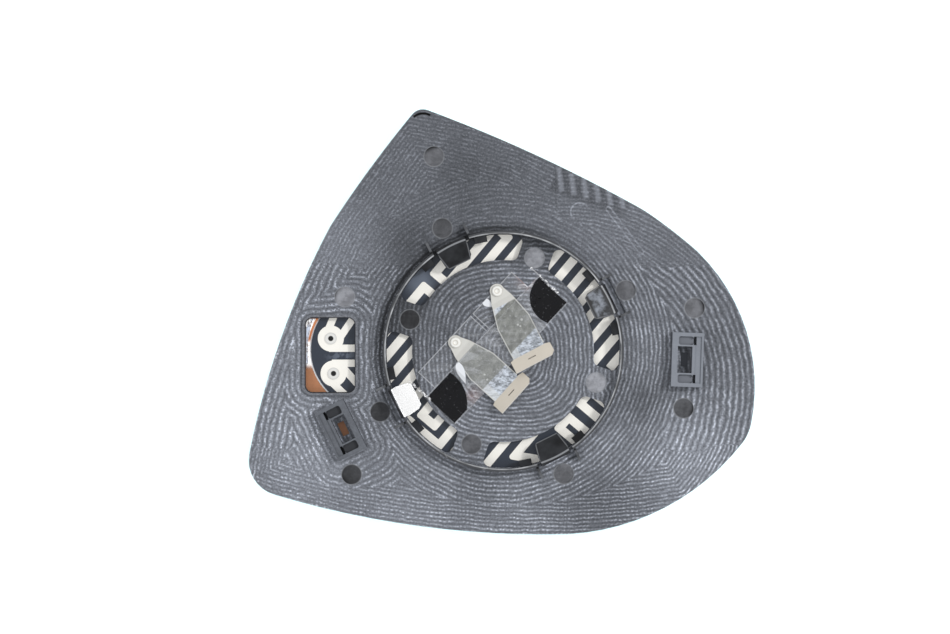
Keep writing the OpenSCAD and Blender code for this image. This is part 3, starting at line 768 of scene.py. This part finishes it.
def tent_highlight(f, start, end, half_width):
    """Painted highlight on a lifted fold along a line: half width * sin(pi t^0.7), t from 0 to 1 along it."""
    dx, dy = end[0] - start[0], end[1] - start[1]
    length = math.hypot(dx, dy)
    u, v = f.turned(*start, math.degrees(math.atan2(dy, dx)))
    t = (u / length).most(0.0).least(1.0)
    half = ((t**0.7) * math.pi).sine() * half_width
    return (half - abs(v)).ramp(-0.05, 0.25) * u.ramp(-0.1, 0.1) * u.ramp(length + 0.1, length - 0.1)


def wrap_finish():
    """Crumpled clear film: white with thin dark creases, and a slim copper strip beside the lobe."""
    # Painted light: the film glows in its own colour, lifting it out of the window's shade
    f = Finish("clear_wrap", Emission_Strength=0.3)
    streaks = f.noise(750, 2.0, stretch=(1, 0.2, 1))
    crease = abs(streaks - 0.46).ramp(0.022, 0.008)
    colour = f.mix(streaks.ramp(0.4, 0.5), WRAP_BLUE, WRAP_WHITE)
    colour = f.mix(crease, colour, WRAP_DARK)
    strip = f.away(LOBE[0], LOBE[1]).ramp(LOBE[2] + 1.5, LOBE[2] + 1.2) * f.y.ramp(3, 5)
    colour = f.mix(strip, colour, COPPER)
    shown = f.y.ramp(-7.5, -4.5) * (f.noise(500, 2.0).ramp(0.35, 0.5) * 0.35 + 0.65)
    f.set(Base_Color=colour, Emission_Color=colour, Roughness=0.15, Alpha=shown.most(strip))
    return f.material


def flap_finish(name, along):
    """Crinkled end of the tape: clear, with white glints along its cut line."""
    f = Finish(name)
    a, _ = f.turned(*TAPE_PLACE, TAPE_TURN)
    glints = f.noise(800, 2.0, rough=0.7).ramp(0.52, 0.6) * abs(a - along).ramp(0.9, 0.3)
    line = abs(a - along).ramp(0.3, 0.1) * 0.35
    f.set(Base_Color=TAPE_GLINT, Roughness=0.2, Alpha=glints.most(line))
    return f.material


def grid_piece(name, place, across, along, finish):
    """Surface whose points are place(u, v) for u, v from 0 to 1, in metres, carried by the part."""
    u, v = np.meshgrid(np.linspace(0, 1, across + 1), np.linspace(0, 1, along + 1))
    points = np.stack(place(u, v), axis=-1).reshape(-1, 3) * MM
    corner = (np.arange(along)[:, None] * (across + 1) + np.arange(across)).ravel()
    faces = np.stack([corner, corner + 1, corner + across + 2, corner + across + 1], axis=-1)
    mesh = bpy.data.meshes.new(name)
    mesh.from_pydata(points.tolist(), [], faces.tolist())
    mesh.polygons.foreach_set("use_smooth", [True] * len(mesh.polygons))
    mesh.materials.append(finish)
    piece = bpy.data.objects.new(name, mesh)
    bpy.context.scene.collection.objects.link(piece)
    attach(piece, "root")
    return piece


def wrap_place(u, v):
    """Clear film in the window's left strip, from the plate's wall to the lobe.

    y runs up from WRAP_LOW, x from the wall to the lobe's edge at that height, and
    z = 0.5 + 0.18 sin(40u + 3 sin(5v)) + 0.1 sin(23u + 9v).
    """
    y = WRAP_LOW + WRAP_LENGTH * v
    wall = WINDOW[0] - WINDOW[2] + 0.1
    lobe = LOBE[0] - np.sqrt(LOBE[2] ** 2 - (y - LOBE[1]) ** 2) - 0.5
    x = wall + (lobe - wall) * u
    return x, y, 0.5 + 0.18 * np.sin(40 * u + 3 * np.sin(5 * v)) + 0.1 * np.sin(23 * u + 9 * v)


def flap_place(along, low, high):
    """End of the tape, lying on the plate and curling up by 0.25 mm at its cut line.

    Its foot stands at r^2 / 2R, the plate's back, and it is crinkled by 0.12 sin(9b) sin(4a).
    """

    def place(u, v):
        a = along + np.sign(along) * (u * END_DEPTH - 1.1)
        b = low + (high - low) * v
        c, s = math.cos(math.radians(TAPE_TURN)), math.sin(math.radians(TAPE_TURN))
        x = TAPE_PLACE[0] + a * c - b * s
        y = TAPE_PLACE[1] + a * s + b * c
        rise = 0.2 + 0.25 * u + 0.12 * np.sin(9 * b) * np.sin(4 * a)
        return x, y, (x**2 + y**2) / (2 * PLATE_R) + rise

    return place


def mirrored_way(angle, eye):
    """Way from the slope of the hook at an angle to the lamp that it mirrors into the camera.

    The slope's normal n leans HOOK_SLOPE towards the ring's axis, and the way is 2 (n.v) n - v
    for the way v to the camera.
    """
    a, lean = math.radians(angle), math.radians(HOOK_SLOPE)
    radius = (HOOK_TIP_R + RING_IN) / 2 * MM
    spot = Vector((radius * math.cos(a), radius * math.sin(a), 0.005))
    normal = Vector((-math.cos(a) * math.sin(lean), -math.sin(a) * math.sin(lean), math.cos(lean)))
    view = (eye - spot).normalized()
    return normal * (2 * normal.dot(view)) - view


def lamp(name, way, distance, size, radiance):
    """Square soft box in one direction from the plate, facing it."""
    light = bpy.data.lights.new(name, "AREA")
    light.shape = "SQUARE"
    light.size = size
    light.energy = radiance * math.pi * size**2
    body = bpy.data.objects.new(name, light)
    body.location = way * distance
    body.rotation_euler = way.to_track_quat("Z", "Y").to_euler()
    bpy.context.scene.collection.objects.link(body)


def floor_finish():
    """White table: it shows white where lit, and keeps the object's soft shadow."""
    material = bpy.data.materials.new("floor_white")
    material.use_nodes = True
    nodes, links = material.node_tree.nodes, material.node_tree.links
    shader = nodes["Principled BSDF"]
    shader.inputs["Base Color"].default_value = (0.8, 0.8, 0.8, 1)
    shader.inputs["Roughness"].default_value = 1.0
    shader.inputs["Specular IOR Level"].default_value = 0.0
    shader.inputs["Emission Color"].default_value = (1, 1, 1, 1)
    path = nodes.new("ShaderNodeLightPath")
    seen = None
    for ray in ("Is Camera Ray", "Is Glossy Ray", "Is Transmission Ray"):
        if seen is None:
            seen = path.outputs[ray]
            continue
        total = nodes.new("ShaderNodeMath")
        links.new(seen, total.inputs[0])
        links.new(path.outputs[ray], total.inputs[1])
        seen = total.outputs[0]
    glow = nodes.new("ShaderNodeMath")
    glow.operation = "MULTIPLY"
    links.new(seen, glow.inputs[0])
    glow.inputs[1].default_value = FLOOR_GLOW
    links.new(glow.outputs[0], shader.inputs["Emission Strength"])
    return material


def main():
    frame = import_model()
    cad_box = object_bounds()
    nodes = frame["nodes"]

    tape = tape_finish("tape", 0, TAPE_L / 2)
    eyelet = eyelet_finish()
    rivet = rivet_finish()
    wearing = {
        "mirror_glass": simple_finish("glass", GLASS_TINT, 0.02, Transmission_Weight=1.0, IOR=1.5),
        "mirror_coating": coating_finish(),
        "adhesive_sheet": adhesive_finish(),
        "heater_film": film_finish(),
        # Painted light: the track glows a little, lifting it out of the slots' shade
        "heater_track": simple_finish("track", TRACK_CREAM, 0.45, speckle=0.06, Emission_Strength=0.1),
        "eyelet_upper": eyelet,
        "eyelet_lower": eyelet,
        "backing_plate": plate_finish(),
        "rivet_upper": rivet,
        "rivet_lower": rivet,
        "tape_over": tape,
        "tape_under_left": tape_finish("tape_left", *UNDER_LEFT, UNDER_Y),
        "tape_under_right": tape_finish("tape_right", *UNDER_RIGHT, UNDER_Y),
    }
    for node, place in TERMINALS.items():
        wearing[node] = terminal_finish(node, *place)
    for node, finish in wearing.items():
        mesh = nodes[node].data
        mesh.materials.clear()
        mesh.materials.append(finish)

    grid_piece("clear_wrap", wrap_place, 60, 80, wrap_finish())
    right = flap_finish("tape_end_right", RIGHT_END)
    grid_piece("tape_end_right", flap_place(RIGHT_END, -2.5, 12.5), 8, 90, right)
    left = flap_finish("tape_end_left", LEFT_END)
    grid_piece("tape_end_left", flap_place(LEFT_END, 5.5, 17.2), 8, 80, left)

    low = cad_box[0][2]
    mesh = bpy.data.meshes.new("floor")
    far = FLOOR_HALF
    mesh.from_pydata(
        [(x, y, low) for x, y in ((-far, -far), (far, -far), (far, far), (-far, far))],
        [],
        [(0, 1, 2, 3)],
    )
    floor = bpy.data.objects.new("floor", mesh)
    bpy.context.scene.collection.objects.link(floor)
    mesh.materials.append(floor_finish())

    world = bpy.data.worlds.new("world")
    bpy.context.scene.world = world
    world.use_nodes = True
    sky = world.node_tree.nodes["Background"]
    sky.inputs["Color"].default_value = SKY_COLOUR
    sky.inputs["Strength"].default_value = SKY_STRENGTH

    eye = Vector((CAMERA_X * MM, CAMERA_Y * MM, CAMERA_HEIGHT))
    lamp("key", mirrored_way(HOOK_TURN + 180, eye), LAMP_AWAY, KEY_SIZE, KEY_POWER)
    lamp("fill", mirrored_way(HOOK_TURN, eye), LAMP_AWAY, FILL_SIZE, FILL_POWER)

    camera = bpy.data.cameras.new("camera")
    camera.sensor_width = SENSOR
    camera.lens = SENSOR * CAMERA_HEIGHT / VIEW_WIDTH
    camera.clip_start = 0.01
    stand = bpy.data.objects.new("camera", camera)
    stand.location = eye
    bpy.context.scene.collection.objects.link(stand)
    bpy.context.scene.camera = stand
    bpy.context.scene.view_settings.view_transform = "Standard"


main()
